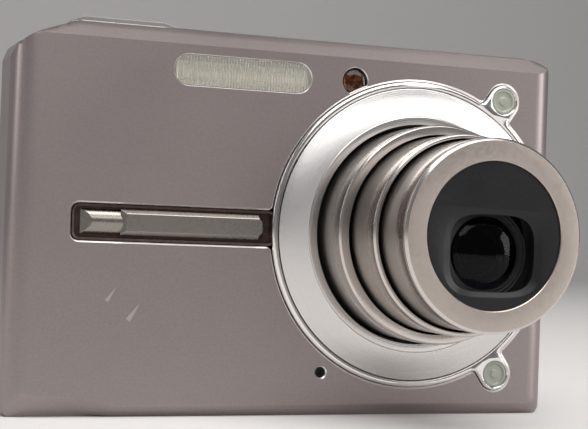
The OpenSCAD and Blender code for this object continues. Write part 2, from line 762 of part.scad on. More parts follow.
module key_board() color([0.1, 0.35, 0.22])
  slab(5.25, 5.55) round_rect([-26, 29], 32, 44, 1);

module key_switches() color([0.7, 0.71, 0.7]) {
  for (c = [menu_c, play_c, record_c, pad_c,
            [pad_c[0] - 6, pad_c[1]], [pad_c[0] + 6, pad_c[1]],
            [pad_c[0], pad_c[1] - 6], [pad_c[0], pad_c[1] + 6],
            [rocker_c[0] - 5, rocker_c[1]], [rocker_c[0] + 5, rocker_c[1]]])
    disc(c, 1, 5.57, 5.72);
  block([-29, -1.2, 54.62], [-25.6, 1.6, 57]);
  block([-12, -1.6, 54.62], [-9, 1, 57]);
}

module strap_bar() color([0.8, 0.8, 0.8])
  translate([hw - 1.2, 4.6, 25.6]) cylinder(r = 0.6, h = 8.8);

module case_screws() color([0.75, 0.75, 0.76]) {
  for (p = base_screws)
    difference() {
      translate([p[0], p[1], 0.15]) union() {
        cylinder(r = 1.3, h = 0.43);
        cylinder(r = 0.9, h = 2.6);
      }
      screw_cross([p[0], p[1], 0.1], [0, 0, 0]);
    }
  for (p = side_screws)
    difference() {
      translate([hw - 0.15, p[0], p[1]]) rotate([0, -90, 0]) union() {
        cylinder(r = 1.3, h = 0.43);
        cylinder(r = 0.9, h = 2.6);
      }
      screw_cross([hw - 0.1, p[0], p[1]], [0, -90, 0]);
    }
}

module screw_cross(at, turn) {
  translate(at) rotate(turn) for (a = [0, 90])
    rotate(a) translate([-0.8, -0.15, -0.2]) cube([1.6, 0.3, 0.5]);
}

/* ---- controls ---- */

module shutter_button() color([0.88, 0.87, 0.85]) {
  z = body_h;
  translate([0, shutter_y1, 0]) rotate([90, 0, 0]) linear_extrude(shutter_y1 - shutter_y0)
    polygon([[shutter_x0, z - 0.7], [shutter_x1, z - 0.7], [shutter_x1, z + 0.2],
             [shutter_x1 - 2.25, z + 0.85], [shutter_x0 + 0.75, z + 0.85], [shutter_x0, z + 0.5]]);
  translate([-27.3, 0.2, z - 1.3]) cylinder(r = 1.2, h = 0.8);
}

module power_button() color([0.8, 0.8, 0.79])
  union() {
    translate([0, 0, body_h - 0.7]) linear_extrude(1.0) stadium(power_c, power_len, power_r);
    translate([power_c[0], power_c[1] + 0.4, body_h - 1.5]) cylinder(r = 0.9, h = 0.9);
  }

module zoom_rocker() color([0.8, 0.79, 0.79])
  difference() {
    union() {
      slab(y_back - 0.7, y_back + 0.5) round_rect(rocker_c, rocker_w, rocker_h, 2.2);
      slab(y_back - 0.95, y_back - 0.7) round_rect(rocker_c, 3, 3, 1);
      rocker_axle(rocker_pin_r, 0.5);
    }
    translate([rocker_c[0], y_back + 3.2, rocker_c[1] - 5]) cylinder(r = 3, h = 10);
  }

// Axle of the rocker, as long as the rocker and "past" more at each end
module rocker_axle(r, past) {
  translate([rocker_c[0], y_back - 0.4, rocker_c[1] - rocker_h / 2 - past])
    cylinder(r = r, h = rocker_h + 2 * past);
}

module direction_ring() color([0.78, 0.77, 0.77])
  ring(pad_c, set_r + 0.3, pad_r, y_back - 0.35, y_back + 0.45);

// Small ring between the pad and the body, so that the pad can tilt both ways
module direction_pivot() color([0.15, 0.15, 0.15])
  ring(pad_c, set_r + 0.3, set_r + 1.4, y_back - 0.9, y_back - 0.7);

module round_key(c, r, top) {
  turned(c)
    polygon([[0, -y_back - top], [r - 0.3, -y_back - top], [r, -y_back - top + 0.25],
             [r, -y_back + 0.65], [0, -y_back + 0.65]]);
}

module set_button() color([0.82, 0.81, 0.8]) round_key(pad_c, set_r, 0.3);

module menu_button() color([0.82, 0.81, 0.8]) round_key(menu_c, key_r, 0.3);

module play_button() color([0.82, 0.81, 0.8]) round_key(play_c, key_r, 0.3);

module record_button() color([0.7, 0.2, 0.18]) round_key(record_c, key_r, 0.3);

module battery_door() color([0.6, 0.55, 0.56])
  union() {
    block([door_x0, door_y0, 0.03], [door_x1, hinge_y, 0.95]);
    translate([door_x0, hinge_y, hinge_z]) rotate([0, 90, 0])
      cylinder(r = hinge_r - 0.01, h = door_x1 - door_x0);
    translate([door_x0 - 0.8, hinge_y, hinge_z]) rotate([0, 90, 0])
      cylinder(r = hinge_pin_r, h = door_x1 - door_x0 + 1.6);
  }

module battery_stopper() color([0.85, 0.45, 0.15])
  block([-9.9, 1, 1.3], [-7.4, 3.4, 2.35]);

front_cover();
rear_cover();
chassis();
top_plate();
trim_plate();
lens_ring();
grip_bar();
lug_windows();
flash_window();
flash_reflector();
flash_tube();
flash_capacitor();
lamp_window();
microphone();
speaker();
lens_housing();
light_seal();
image_sensor();
sensor_board();
focus_lens();
zoom_motor();
main_board();
board_chips();
card_slot();
memory_card();
battery_box();
battery();
battery_contacts();
tripod_socket();
cradle_connector();
display_panel();
display_window();
key_board();
key_switches();
strap_bar();
case_screws();
barrel_1();
barrel_2();
barrel_3();
front_ring();
lens_mask();
front_lens();
lens_cell();
barrier_upper();
barrier_lower();
cam_ring();
idler_gear();
motor_pinion();
shutter_button();
power_button();
zoom_rocker();
direction_ring();
direction_pivot();
set_button();
menu_button();
play_button();
record_button();
battery_door();
battery_stopper();
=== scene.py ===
"""Compact digital camera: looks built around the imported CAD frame. Lengths below are in millimetres."""
import math
import bmesh
import bpy
from mathutils import Matrix, Vector
from mathutils.geometry import tessellate_polygon


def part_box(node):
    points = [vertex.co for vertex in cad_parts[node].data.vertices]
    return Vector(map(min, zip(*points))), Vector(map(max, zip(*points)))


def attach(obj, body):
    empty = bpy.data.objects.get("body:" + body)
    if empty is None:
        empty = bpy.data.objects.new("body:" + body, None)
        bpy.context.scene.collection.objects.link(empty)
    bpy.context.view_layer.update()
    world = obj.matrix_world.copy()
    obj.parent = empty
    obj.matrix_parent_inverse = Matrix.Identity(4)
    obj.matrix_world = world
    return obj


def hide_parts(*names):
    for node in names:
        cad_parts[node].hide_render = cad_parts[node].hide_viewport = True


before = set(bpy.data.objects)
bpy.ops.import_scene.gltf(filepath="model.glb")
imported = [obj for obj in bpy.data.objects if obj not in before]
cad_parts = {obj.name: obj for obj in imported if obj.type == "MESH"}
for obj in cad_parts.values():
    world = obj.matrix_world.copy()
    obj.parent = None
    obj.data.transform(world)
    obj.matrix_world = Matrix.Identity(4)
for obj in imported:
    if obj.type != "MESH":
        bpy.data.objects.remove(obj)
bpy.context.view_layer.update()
MM = 0.001
HALF_W, TOP = 45.0, 59.0   # the front cover: half its width, and its top
SKIN = 0.8                 # its thickness
YF, YB = -7.0, 7.0         # flat front and flat back
LX, LZ = 20.0, 29.0        # barrels' centre
AZ = LZ - 2.5              # optical axis
RADII, LENGTHS = [17.0, 15.15, 14.15], [10.6, 10.4, 9.6]      # of the three barrels
TRAVEL = 8.5               # of each barrel along Y
FRONTS = [-8.0 - 0.2 * k - TRAVEL * (k + 1) for k in range(3)]      # y of their front ends, lens out
WALL = 0.6                 # thickness of each barrel
MASK_R = 10.75             # the lens mask, seen inside the front ring
MASK_OUT = 13.5            # the mask's rim and the plate behind it, inside the third barrel
RIM_R, RIM_BORE = 24.6, 23.5      # the lens ring's rim
LUG_AT, LUG_ANGLE, LUG_R = 27.0, 56, 2.75    # its lugs: distance from the barrels' centre, angle, radius
SLOT_HALF, SLOT_END = 2.8, 55.8   # grip slot: half its height, and its end's distance from that centre
FLASH, FLASH_LEN, FLASH_R = (-9.85, 52.65), 22.2, 2.35    # flash window: centre (x, z), length, end radius
LAMP, LAMP_R = (8.65, 52.85), 2.15      # lamp window: centre (x, z) and radius
MIC, MIC_R = (4.5, 6.8), 0.85           # microphone hole, likewise
PAD = (-27, 25)            # direction ring on the back (x, z)


def corners(node):
    """A CAD node's lowest and highest corners."""
    lo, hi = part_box(node)
    return lo / MM, hi / MM


# ---------------------------------------------------------------- materials
class Nodes:
    """A material's node tree, with short calls for the nodes used here."""

    def __init__(self, name):
        self.mat = bpy.data.materials.new(name)
        self.mat.use_nodes = True
        self.tree = self.mat.node_tree
        self.tree.nodes.clear()
        self.out = self.tree.nodes.new("ShaderNodeOutputMaterial")
        self.shader = self.tree.nodes.new("ShaderNodeBsdfPrincipled")
        self.tree.links.new(self.shader.outputs[0], self.out.inputs[0])
        self.coord = self.tree.nodes.new("ShaderNodeTexCoord").outputs["Object"]

    def link(self, a, b):
        self.tree.links.new(a, b)

    def set(self, sockets):
        """Constants on the shader's own sockets, by name with _ for a space."""
        for k, v in sockets.items():
            self.shader.inputs[k.replace("_", " ")].default_value = v

    def away(self, centre):
        """The two coordinates' distances from a centre (x, z) given in millimetres."""
        x, _, z = self.xyz()
        return self.math("SUBTRACT", x, centre[0] * MM), self.math("SUBTRACT", z, centre[1] * MM)

    def node(self, kind, **settings):
        n = self.tree.nodes.new(kind)
        for k, v in settings.items():
            setattr(n, k, v)
        return n

    def put(self, socket, value):
        if isinstance(value, bpy.types.NodeSocket):
            self.link(value, socket)
        else:
            socket.default_value = value

    def math(self, op, a, b=0.0):
        n = self.node("ShaderNodeMath", operation=op)
        self.put(n.inputs[0], a)
        self.put(n.inputs[1], b)
        return n.outputs[0]

    def noise(self, scale, vector=None, detail=3.0, w=None):
        n = self.node("ShaderNodeTexNoise", noise_dimensions="1D" if w is not None else "3D")
        n.inputs["Scale"].default_value = scale
        n.inputs["Detail"].default_value = detail
        if w is not None:
            self.link(w, n.inputs["W"])
        else:
            self.link(vector or self.coord, n.inputs["Vector"])
        return n.outputs[0]

    def scaled(self, x, y, z):
        n = self.node("ShaderNodeVectorMath", operation="MULTIPLY")
        self.link(self.coord, n.inputs[0])
        n.inputs[1].default_value = (x, y, z)
        return n.outputs[0]

    def xyz(self):
        n = self.node("ShaderNodeSeparateXYZ")
        self.link(self.coord, n.inputs[0])
        return n.outputs

    def ramp(self, value, stops):
        n = self.node("ShaderNodeValToRGB")
        e = n.color_ramp.elements
        while len(e) < len(stops):
            e.new(0.5)
        for el, (p, c) in zip(e, stops):
            el.position = p
            el.color = (*c, 1)
        self.link(value, n.inputs[0])
        return n.outputs[0]

    def span(self, value, a, b, lo, hi):
        n = self.node("ShaderNodeMapRange")
        self.link(value, n.inputs[0])
        for i, v in zip((1, 2, 3, 4), (a, b, lo, hi)):
            n.inputs[i].default_value = v
        return n.outputs[0]

    def mix(self, fac, a, b):
        n = self.node("ShaderNodeMix", data_type="RGBA")
        self.put(n.inputs[0], fac)
        self.put(n.inputs[6], (*a, 1) if isinstance(a, tuple) else a)
        self.put(n.inputs[7], (*b, 1) if isinstance(b, tuple) else b)
        return n.outputs[2]

    def bump(self, height, strength, distance):
        n = self.node("ShaderNodeBump")
        n.inputs["Strength"].default_value = strength
        n.inputs["Distance"].default_value = distance
        self.link(height, n.inputs["Height"])
        self.link(n.outputs[0], self.shader.inputs["Normal"])


def shade(colour, k):
    """The colour made k times as bright."""
    return tuple(min(1, c * k) for c in colour)


def surface(name, colour, metal=0.0, rough=0.5, spread=0.06, grain=900.0, bump=0.15, blotch=60.0,
            kind="grain", anis=0.0, **sockets):
    """A finished surface: fine grain, or turned, ring or brushed lines, with slow blotches and uneven
    roughness."""
    m = Nodes(name)
    slow = m.noise(blotch, detail=4)
    if kind == "turned":
        dx, dz = m.away((LX, LZ))
        r = m.math("SQRT", m.math("ADD", m.math("MULTIPLY", dx, dx), m.math("MULTIPLY", dz, dz)))
        fine = m.noise(grain * 6, w=r, detail=2)
    elif kind == "rings":
        fine = m.noise(grain * 6, w=m.xyz()[1], detail=2)
    elif kind == "brushed":
        fine = m.noise(grain, m.scaled(0.04, 1, 1), detail=2)
    else:
        fine = m.noise(grain, detail=2)
    mixed = m.math("ADD", m.math("MULTIPLY", fine, 0.55), m.math("MULTIPLY", slow, 0.45))
    base = m.ramp(mixed, [(0.3, shade(colour, 1 - spread)), (0.7, shade(colour, 1 + spread))])
    m.link(base, m.shader.inputs["Base Color"])
    uneven = m.span(mixed, 0.25, 0.75, max(rough * 0.85, 0.02), min(rough * 1.2, 1))
    m.link(uneven, m.shader.inputs["Roughness"])
    m.shader.inputs["Metallic"].default_value = metal
    if anis:
        m.shader.inputs["Anisotropic"].default_value = anis
        t = m.node("ShaderNodeTangent", direction_type="RADIAL", axis="Y")
        m.link(t.outputs[0], m.shader.inputs["Tangent"])
    m.set(sockets)
    m.bump(fine, bump, 0.00004)
    return m.mat


def glass(name, tint, rough, ior, **sockets):
    """Clear or tinted glass or plastic, with a faint haze."""
    m = Nodes(name)
    haze = m.noise(300, detail=3)
    m.link(m.ramp(haze, [(0.3, shade(tint, 0.96)), (0.7, tint)]), m.shader.inputs["Base Color"])
    m.link(m.span(haze, 0.3, 0.7, rough * 0.7, rough * 1.3), m.shader.inputs["Roughness"])
    m.shader.inputs["Transmission Weight"].default_value = 1
    m.shader.inputs["IOR"].default_value = ior
    m.set(sockets)
    m.bump(haze, 0.02, 0.00002)
    return m.mat


CHIPS = [((-29.4, 18.3), 2.4, 0.6), ((-25.9, 15.7), 2.9, 0.8)]     # centre (x, z), length, width
CHIP_X, CHIP_Z = 0.56, 0.83      # the chips' direction


def cover_material():
    """Anodised metal, with a faint sparkle in the pigment and two small chips on the grip side."""
    m = Nodes("cover_satin")
    slow, fine = m.noise(22, detail=5), m.noise(2600, detail=1)
    colour = (0.31, 0.270, 0.266)
    base = m.ramp(m.math("ADD", m.math("MULTIPLY", slow, 0.5), m.math("MULTIPLY", fine, 0.5)),
                  [(0.32, shade(colour, 0.93)), (0.68, shade(colour, 1.07))])
    front = m.math("LESS_THAN", m.xyz()[1], (YF + 0.05) * MM)
    for centre, length, width in CHIPS:
        dx, dz = m.away(centre)
        end = length / 2 * MM
        along = m.math("ADD", m.math("MULTIPLY", dx, CHIP_X), m.math("MULTIPLY", dz, CHIP_Z))
        across = m.math("SUBTRACT", m.math("MULTIPLY", dx, CHIP_Z), m.math("MULTIPLY", dz, CHIP_X))
        half = m.span(along, -end, end, width / 2 * MM, 0.05 * width * MM)
        within = m.math("LESS_THAN", m.math("ABSOLUTE", along), end)
        inside = m.math("MULTIPLY", m.math("LESS_THAN", m.math("ABSOLUTE", across), half), within)
        base = m.mix(m.math("MULTIPLY", m.math("MULTIPLY", inside, front), 0.6), base, (0.57, 0.54, 0.51))
    m.link(base, m.shader.inputs["Base Color"])
    m.link(m.span(slow, 0.3, 0.7, 0.33, 0.40), m.shader.inputs["Roughness"])
    m.shader.inputs["Metallic"].default_value = 0.8
    m.shader.inputs["Coat Weight"].default_value = 0.12
    m.shader.inputs["Coat Roughness"].default_value = 0.3
    m.bump(fine, 0.08, 0.00003)
    return m.mat


def board_material(name, colour):
    """Solder mask with faint copper tracks under it."""
    m = Nodes(name)
    n = m.node("ShaderNodeTexBrick")
    m.link(m.coord, n.inputs["Vector"])
    n.inputs["Scale"].default_value = 420
    n.inputs["Color1"].default_value = (*shade(colour, 0.9), 1)
    n.inputs["Color2"].default_value = (*shade(colour, 1.2), 1)
    n.inputs["Mortar"].default_value = (*shade(colour, 1.7), 1)
    n.inputs["Mortar Size"].default_value = 0.03
    m.link(m.mix(m.noise(120, detail=4), n.outputs[0], shade(colour, 0.8)), m.shader.inputs["Base Color"])
    m.shader.inputs["Roughness"].default_value = 0.3
    m.bump(n.outputs[1], 0.3, 0.00002)
    return m.mat


MATERIALS = {
    "cover": cover_material(),
    "cut_edge": surface("cut_edge", (0.90, 0.87, 0.86), 1, 0.34, 0.03, 1200, 0.05),
    "top": surface("top_strip", (0.66, 0.63, 0.61), 1, 0.27, 0.03, 1100, 0.04, kind="brushed"),
    "chrome": surface("rim_chrome", (0.83, 0.81, 0.80), 1, 0.13, 0.03, 700, 0.05),
    "tray": surface("slot_tray", (0.055, 0.036, 0.032), 0.8, 0.25, 0.3, 1200, 0.15, 400),
    "dish": surface("dish_turned", (0.71, 0.69, 0.68), 1, 0.25, 0.03, 1500, 0.12, 40, "turned", anis=0.75),
    "bar": surface("grip_bar_metal", (0.30, 0.275, 0.255), 1, 0.27, 0.03, 1500, 0.015, 90),
    "barrel": surface("barrel_side", (0.42, 0.385, 0.36), 1, 0.29, 0.05, 1500, 0.1, 60, "rings", anis=0.4),
    "barrel_front": surface("barrel_polished", (0.38, 0.335, 0.305), 1, 0.17, 0.04, 1500, 0.05, 60, "rings",
                            anis=0.3),
    "barrel_lip": surface("barrel_lip", (0.66, 0.62, 0.59), 1, 0.22, 0.04, 1500, 0.08, 60, "turned"),
    "front_ring": surface("front_ring_satin", (0.50, 0.445, 0.405), 1, 0.36, 0.04, 2200, 0.08, 80),
    "mask": surface("mask_black", (0.007, 0.007, 0.009), 0, 0.35, 0.25, 2600, 0.05, 100,
                    Specular_IOR_Level=0.35),
    "black": surface("matt_black", (0.012, 0.012, 0.013), 0, 0.55, 0.3, 1400, 0.2, 80),
    "blade": surface("blade_black", (0.02, 0.02, 0.022), 0.3, 0.4, 0.3, 1800, 0.15, kind="brushed"),
    "key": surface("key_satin", (0.50, 0.475, 0.475), 1, 0.28, 0.03, 1200, 0.02),
    "red": surface("record_red", (0.42, 0.045, 0.035), 0.2, 0.32, 0.08, 1800, 0.1),
    "steel": surface("steel", (0.60, 0.60, 0.61), 1, 0.3, 0.06, 1100, 0.15, kind="brushed"),
    "gold": surface("gold_plate", (0.80, 0.58, 0.25), 1, 0.24, 0.06, 1300, 0.1),
    "brass": surface("brass", (0.70, 0.50, 0.22), 1, 0.3, 0.08, 1300, 0.15),
    "nylon": surface("nylon", (0.70, 0.68, 0.60), 0, 0.5, 0.05, 900, 0.2, Subsurface_Weight=0.1),
    "orange": surface("orange_plastic", (0.70, 0.22, 0.05), 0, 0.45, 0.08, 900, 0.2),
    "card": surface("card_plastic", (0.03, 0.06, 0.20), 0, 0.5, 0.08, 900, 0.25),
    "cell": surface("cell_wrap", (0.085, 0.09, 0.105), 0, 0.42, 0.08, 700, 0.15),
    "sleeve": surface("capacitor_sleeve", (0.03, 0.03, 0.09), 0, 0.25, 0.1, 500, 0.1),
    "board": board_material("solder_mask", (0.02, 0.13, 0.055)),
    "chip": surface("chip_black", (0.02, 0.02, 0.022), 0, 0.45, 0.2, 1500, 0.2),
    "reflector": surface("flash_reflector", (0.98, 0.96, 0.88), 1, 0.3, 0.02, 900, 0.05, kind="brushed"),
    "lens": glass("lens_dark", (0.12, 0.13, 0.17), 0.03, 1.22),
    "flash_glass": glass("flash_glass", (1.0, 0.985, 0.92), 0.08, 1.49, Transmission_Weight=0.8),
    "clear": glass("clear_plastic", (0.62, 0.66, 0.57), 0.14, 1.49, Transmission_Weight=0.45),
    "amber": glass("amber_plastic", (0.40, 0.235, 0.125), 0.06, 1.5),
    "tube": glass("flash_tube_glass", (0.97, 0.96, 0.93), 0.1, 1.45),
}


def display_material():
    """Gloss black window over a slightly lighter picture area."""
    m = Nodes("display_black")
    lo, hi = corners("display_window")
    dx, dz = m.away(((lo.x + hi.x) / 2, (lo.z + hi.z) / 2))
    half_w, half_h = 22.2 * MM, 16.7 * MM       # of the picture area
    inside = m.math("MULTIPLY", m.math("LESS_THAN", m.math("ABSOLUTE", dx), half_w),
                    m.math("LESS_THAN", m.math("ABSOLUTE", dz), half_h))
    haze = m.noise(90, detail=4)
    picture = m.ramp(haze, [(0.3, (0.018, 0.021, 0.026)), (0.7, (0.024, 0.027, 0.033))])
    m.link(m.mix(inside, (0.006, 0.006, 0.007), picture), m.shader.inputs["Base Color"])
    m.link(m.span(haze, 0.3, 0.7, 0.05, 0.09), m.shader.inputs["Roughness"])
    m.shader.inputs["Coat Weight"].default_value = 0.6
    m.shader.inputs["Coat Roughness"].default_value = 0.03
    m.bump(haze, 0.02, 0.00002)
    return m.mat


MATERIALS["display"] = display_material()


# ---------------------------------------------------------------- mesh helpers
def piece(name, verts, faces, mats, body, slot, face_mats=None, angle=28, replaces=()):
    """A mesh piece in the row frame; verts in millimetres."""
    me = bpy.data.meshes.new(name)
    me.from_pydata([(x * MM, y * MM, z * MM) for x, y, z in verts], [], faces)
    for m in mats:
        me.materials.append(MATERIALS[m])
    if face_mats:
        for p, i in zip(me.polygons, face_mats):
            p.material_index = i
    bm = bmesh.new()
    bm.from_mesh(me)
    bmesh.ops.remove_doubles(bm, verts=bm.verts, dist=1e-7)
    bmesh.ops.recalc_face_normals(bm, faces=bm.faces)
    bm.to_mesh(me)
    bm.free()
    me.shade_smooth()
    me.set_sharp_from_angle(angle=math.radians(angle))
    o = bpy.data.objects.new(name, me)
    bpy.context.scene.collection.objects.link(o)
    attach(o, body)
    if replaces:
        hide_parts(*replaces)
    return o


def rounded(pts, radii, n=4, closed=True):
    """The polyline with its corners rounded; radii is one number or one per point."""
    pts = [Vector(p) for p in pts]
    out = []
    for i, p in enumerate(pts):
        r = radii[i] if isinstance(radii, (list, tuple)) else radii
        if r == 0 or (not closed and i in (0, len(pts) - 1)):
            out.append(p)
            continue
        a, b = pts[i - 1] - p, pts[(i + 1) % len(pts)] - p
        half = a.angle(b) / 2
        if half > 1.55:
            out.append(p)
            continue
        t = min(r / math.tan(half), 0.48 * a.length, 0.48 * b.length)
        s, e = p + a.normalized() * t, p + b.normalized() * t
        for k in range(n + 1):
            u = k / n
            out.append(s * (1 - u) ** 2 + p * 2 * u * (1 - u) + e * u * u)
    return [tuple(v) for v in out]


def lathe(name, profile, mats, body, slot, centre=(LX, LZ), segs=256, radii=0.0, n=3, bands=(), **kw):
    """Turns a profile of (radius, y) about the axis along Y. bands: (a test of r and y, material index)."""
    axial = profile[0][0] == 0
    prof = rounded(profile, radii, n, closed=not axial)
    verts, rings = [], []
    for r, y in prof:
        if r < 1e-6:
            rings.append([len(verts)])
            verts.append((centre[0], y, centre[1]))
        else:
            rings.append(list(range(len(verts), len(verts) + segs)))
            for k in range(segs):
                a = 2 * math.pi * k / segs
                verts.append((centre[0] + r * math.cos(a), y, centre[1] + r * math.sin(a)))
    faces, fm = [], []
    count = len(rings) - 1 if axial else len(rings)
    for i in range(count):
        j = (i + 1) % len(rings)
        a, b = rings[i], rings[j]
        mid = ((prof[i][0] + prof[j][0]) / 2, (prof[i][1] + prof[j][1]) / 2)
        mi = next((m for test, m in bands if test(*mid)), 0)
        for k in range(segs):
            k2 = (k + 1) % segs
            if len(a) == 1 and len(b) == 1:
                continue
            if len(a) == 1:
                faces.append((a[0], b[k], b[k2]))
            elif len(b) == 1:
                faces.append((a[k], a[k2], b[0]))
            else:
                faces.append((a[k], a[k2], b[k2], b[k]))
            fm.append(mi)
    return piece(name, verts, faces, mats, body, slot, fm, **kw)


def area(loop):
    return sum(a[0] * b[1] - b[0] * a[1] for a, b in zip(loop, loop[1:] + loop[:1])) / 2


def inset(loop, d):
    """The closed loop moved inwards by d, whichever way it runs."""
    s = 1 if area(loop) > 0 else -1
    out, n = [], len(loop)
    for i in range(n):
        p, a, b = Vector(loop[i]), Vector(loop[i - 1]), Vector(loop[(i + 1) % n])
        u, v = (p - a).normalized(), (b - p).normalized()
        w = Vector((-u.y - v.y, u.x + v.x)) * s
        w.normalize()
        c = max(0.35, abs(w.dot(Vector((-u.y, u.x)))))
        out.append(tuple(p + w * (d / c)))
    return out


def solid(name, rims, mats, body, slot, **kw):
    """A closed solid from rims: each rim is a list of rows (x, z loops with a y), from its front to its back.
    The first rim is the outline, the others are holes. rim = (rows, material index per band)."""
    verts, faces, fm = [], [], []
    first, last = [], []
    for rows, bands in rims:
        ids = []
        for loop, y in rows:
            ids.append(list(range(len(verts), len(verts) + len(loop))))
            verts += [(p[0], y[k] if isinstance(y, list) else y, p[1]) for k, p in enumerate(loop)]
        for i in range(len(ids) - 1):
            a, b = ids[i], ids[i + 1]
            for k in range(len(a)):
                k2 = (k + 1) % len(a)
                faces.append((a[k], a[k2], b[k2], b[k]))
                fm.append(bands[i] if bands else 0)
        first.append(ids[0])
        last.append(ids[-1])
    for group in (first, last):
        flat = [i for g in group for i in g]
        tris = tessellate_polygon([[Vector((verts[i][0], verts[i][2], 0)) for i in g] for g in group])
        for t in tris:
            faces.append(tuple(flat[i] for i in t))
            fm.append(0)
    return piece(name, verts, faces, mats, body, slot, fm, **kw)


def plate_rows(loop, y0, y1, soft, sign=1):
    """Rows of a plate's edge, softened at the front. sign -1 for a hole."""
    mid = soft * 0.3
    return [(inset(loop, sign * soft), y0), (inset(loop, sign * mid), y0 + mid), (loop, y0 + soft),
            (loop, y1)]


def polar(c, r, a):
    """The point at distance r and angle a from c."""
    return c[0] + r * math.cos(a), c[1] + r * math.sin(a)


def circle(c, r, n):
    return [polar(c, r, 2 * math.pi * k / n) for k in range(n)]


def rect(c, w, h, r):
    x, z = w / 2, h / 2
    return rounded([(c[0] + i * x, c[1] + j * z) for i, j in ((-1, -1), (1, -1), (1, 1), (-1, 1))], r, 8)


def arc(c, r, a0, a1, n):
    """n + 1 points from a0 to a1, in degrees."""
    return [polar(c, r, math.radians(a0 + (a1 - a0) * k / n)) for k in range(n + 1)]


def stadium(c, length, r):
    h = length / 2 - r
    return arc((c[0] + h, c[1]), r, -90, 90, 20) + arc((c[0] - h, c[1]), r, 90, 270, 20)


def trim_outline(grow, slot=True):
    """The lens ring's circle with its two lugs and the grip slot, as one loop."""
    big, h = RIM_R + grow, SLOT_HALF + grow
    end, soft = SLOT_END + grow, 1.4 + grow
    lug = arc((LUG_AT, 0), LUG_R + grow, -88, 88, 22)
    tip = rounded([(25, -h), (end, -h), (end, h), (25, h)], [0, soft, soft, 0], 8)[1:-1]
    # each neck: its angle, half width, fillet and tip
    necks = [(a, LUG_R + grow, 0.8 - grow, lug) for a in (-LUG_ANGLE, LUG_ANGLE)]
    if slot:
        necks.append((180, h, 0.9 - grow, tip))
    parts = []
    for angle, hw, rf, tip_pts in necks:
        cx = math.sqrt((big + rf) ** 2 - (hw + rf) ** 2)
        lean = math.degrees(math.atan2(hw + rf, cx))
        side = arc((cx, -(hw + rf)), rf, 180 - lean, 90, 6)
        local = side + tip_pts + [(x, -z) for x, z in reversed(side)]
        c, s = math.cos(math.radians(angle)), math.sin(math.radians(angle))
        parts.append((angle - lean, angle + lean, [(x * c - z * s, x * s + z * c) for x, z in local]))
    loop = []
    for i, (a0, a1, pts) in enumerate(parts):
        nxt = parts[(i + 1) % len(parts)][0]
        loop += pts + arc((0, 0), big, a1, nxt + (360 if nxt < a1 else 0), 72)[1:-1]
    return [(LX + x, LZ + z) for x, z in loop]


def dress(node, mat, width):
    """A CAD node that keeps its shape: a finish, and edges softened a little."""
    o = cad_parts[node]
    o.data.materials.clear()
    o.data.materials.append(MATERIALS[mat])
    if width:
        w = o.modifiers.new("weld", "WELD")
        w.merge_threshold = 1e-6
        b = o.modifiers.new("soft_edges", "BEVEL")
        b.width = width * MM
        b.segments = 2
        b.limit_method = "ANGLE"
        b.angle_limit = math.radians(35)
        b.use_clamp_overlap = True
        b.miter_outer = "MITER_ARC"
        n = o.modifiers.new("even_normals", "WEIGHTED_NORMAL")
        n.keep_sharp = True


# ---------------------------------------------------------------- front cover
SIDE_R = 3.6                                        # the sides' rounding
BEVELS = [(2.5, 2.4), (1.7, 1.5), (3.1, 2.0)]       # height and depth: top, base, and the base's left part
STEP_X0, STEP_X1, STEP = -36.45, 40.7, 0.6          # the step under the top plate: its ends and its height
COVER_BACK = -3.65
SLOPE = [(-35.2, TOP), (-38.3, 57.95), (-41.3, 56.75), (-43.2, 55.75), (-44.4, 54.5), (-HALF_W, 52.6)]


def cover_rows(y, inner=0.0, notch=0.0):
    """The outline at depth y, pulled in by inner, with a fixed number of points, so that rows can be joined.
    notch is how far the top is cut down between the step's ends."""
    t = y - YF
    side = SIDE_R - math.sqrt(max(0.0, SIDE_R * SIDE_R - (SIDE_R - min(t, SIDE_R)) ** 2))
    top, base, left = (height * max(0.0, 1 - t / depth) for height, depth in BEVELS)
    hw = HALF_W - side - inner
    zt, zb, zl = TOP - top - inner, base + inner, left + inner
    rt, rb = 4.2 - inner, 1.4
    pts = [(-hw, zl + rb)] + arc((-hw + rb, zl + rb), rb, 180, 270, 6)[1:] + [(-34.1, zl), (-28.6, zb)]
    pts += arc((hw - rb, zb + rb), rb, 270, 360, 6)
    # right top corner: the arc cut by this row's side and top
    corner = arc((HALF_W - inner - rt, TOP - inner - rt), rt, 0, 90, 12)
    pts += [(min(hw, x), min(zt, z)) for x, z in corner]
    cut, end = zt - notch, slope_z(STEP_X0, inner)
    pts += [(STEP_X1, zt), (STEP_X1, cut), (SLOPE[0][0] - 0.3 * inner, cut), (STEP_X0, min(cut, end)),
            (STEP_X0, min(zt, end))]
    for k in range(1, 13):
        x = STEP_X0 - (HALF_W + STEP_X0 - inner) * k / 12
        pts.append((max(-hw, x), min(zt, slope_z(x, inner))))
    return pts


def slope_z(x, inner):
    """Height of the sloping top left corner at x."""
    down = 0.8 * inner
    x -= 0.6 * inner
    for (x0, z0), (x1, z1) in zip(SLOPE, SLOPE[1:]):
        if x1 <= x <= x0:
            return z0 + (z1 - z0) * (x0 - x) / (x0 - x1) - down
    return SLOPE[-1][1] - down if x < SLOPE[-1][0] else TOP


def hole(loop, cut):
    """A hole through the front, with a bright cut edge."""
    loop = loop if area(loop) < 0 else loop[::-1]
    return [(inset(loop, -cut), YF), (loop, YF + cut), (loop, YF + SKIN)], [1, 0]


def clear_of_ring(pts, r):
    """The points moved out to at least r from the barrels' centre."""
    out = []
    for p in pts:
        d = math.dist(p, (LX, LZ))
        k = max(1, r / d)
        out.append((LX + (p[0] - LX) * k, LZ + (p[1] - LZ) * k))
    return out


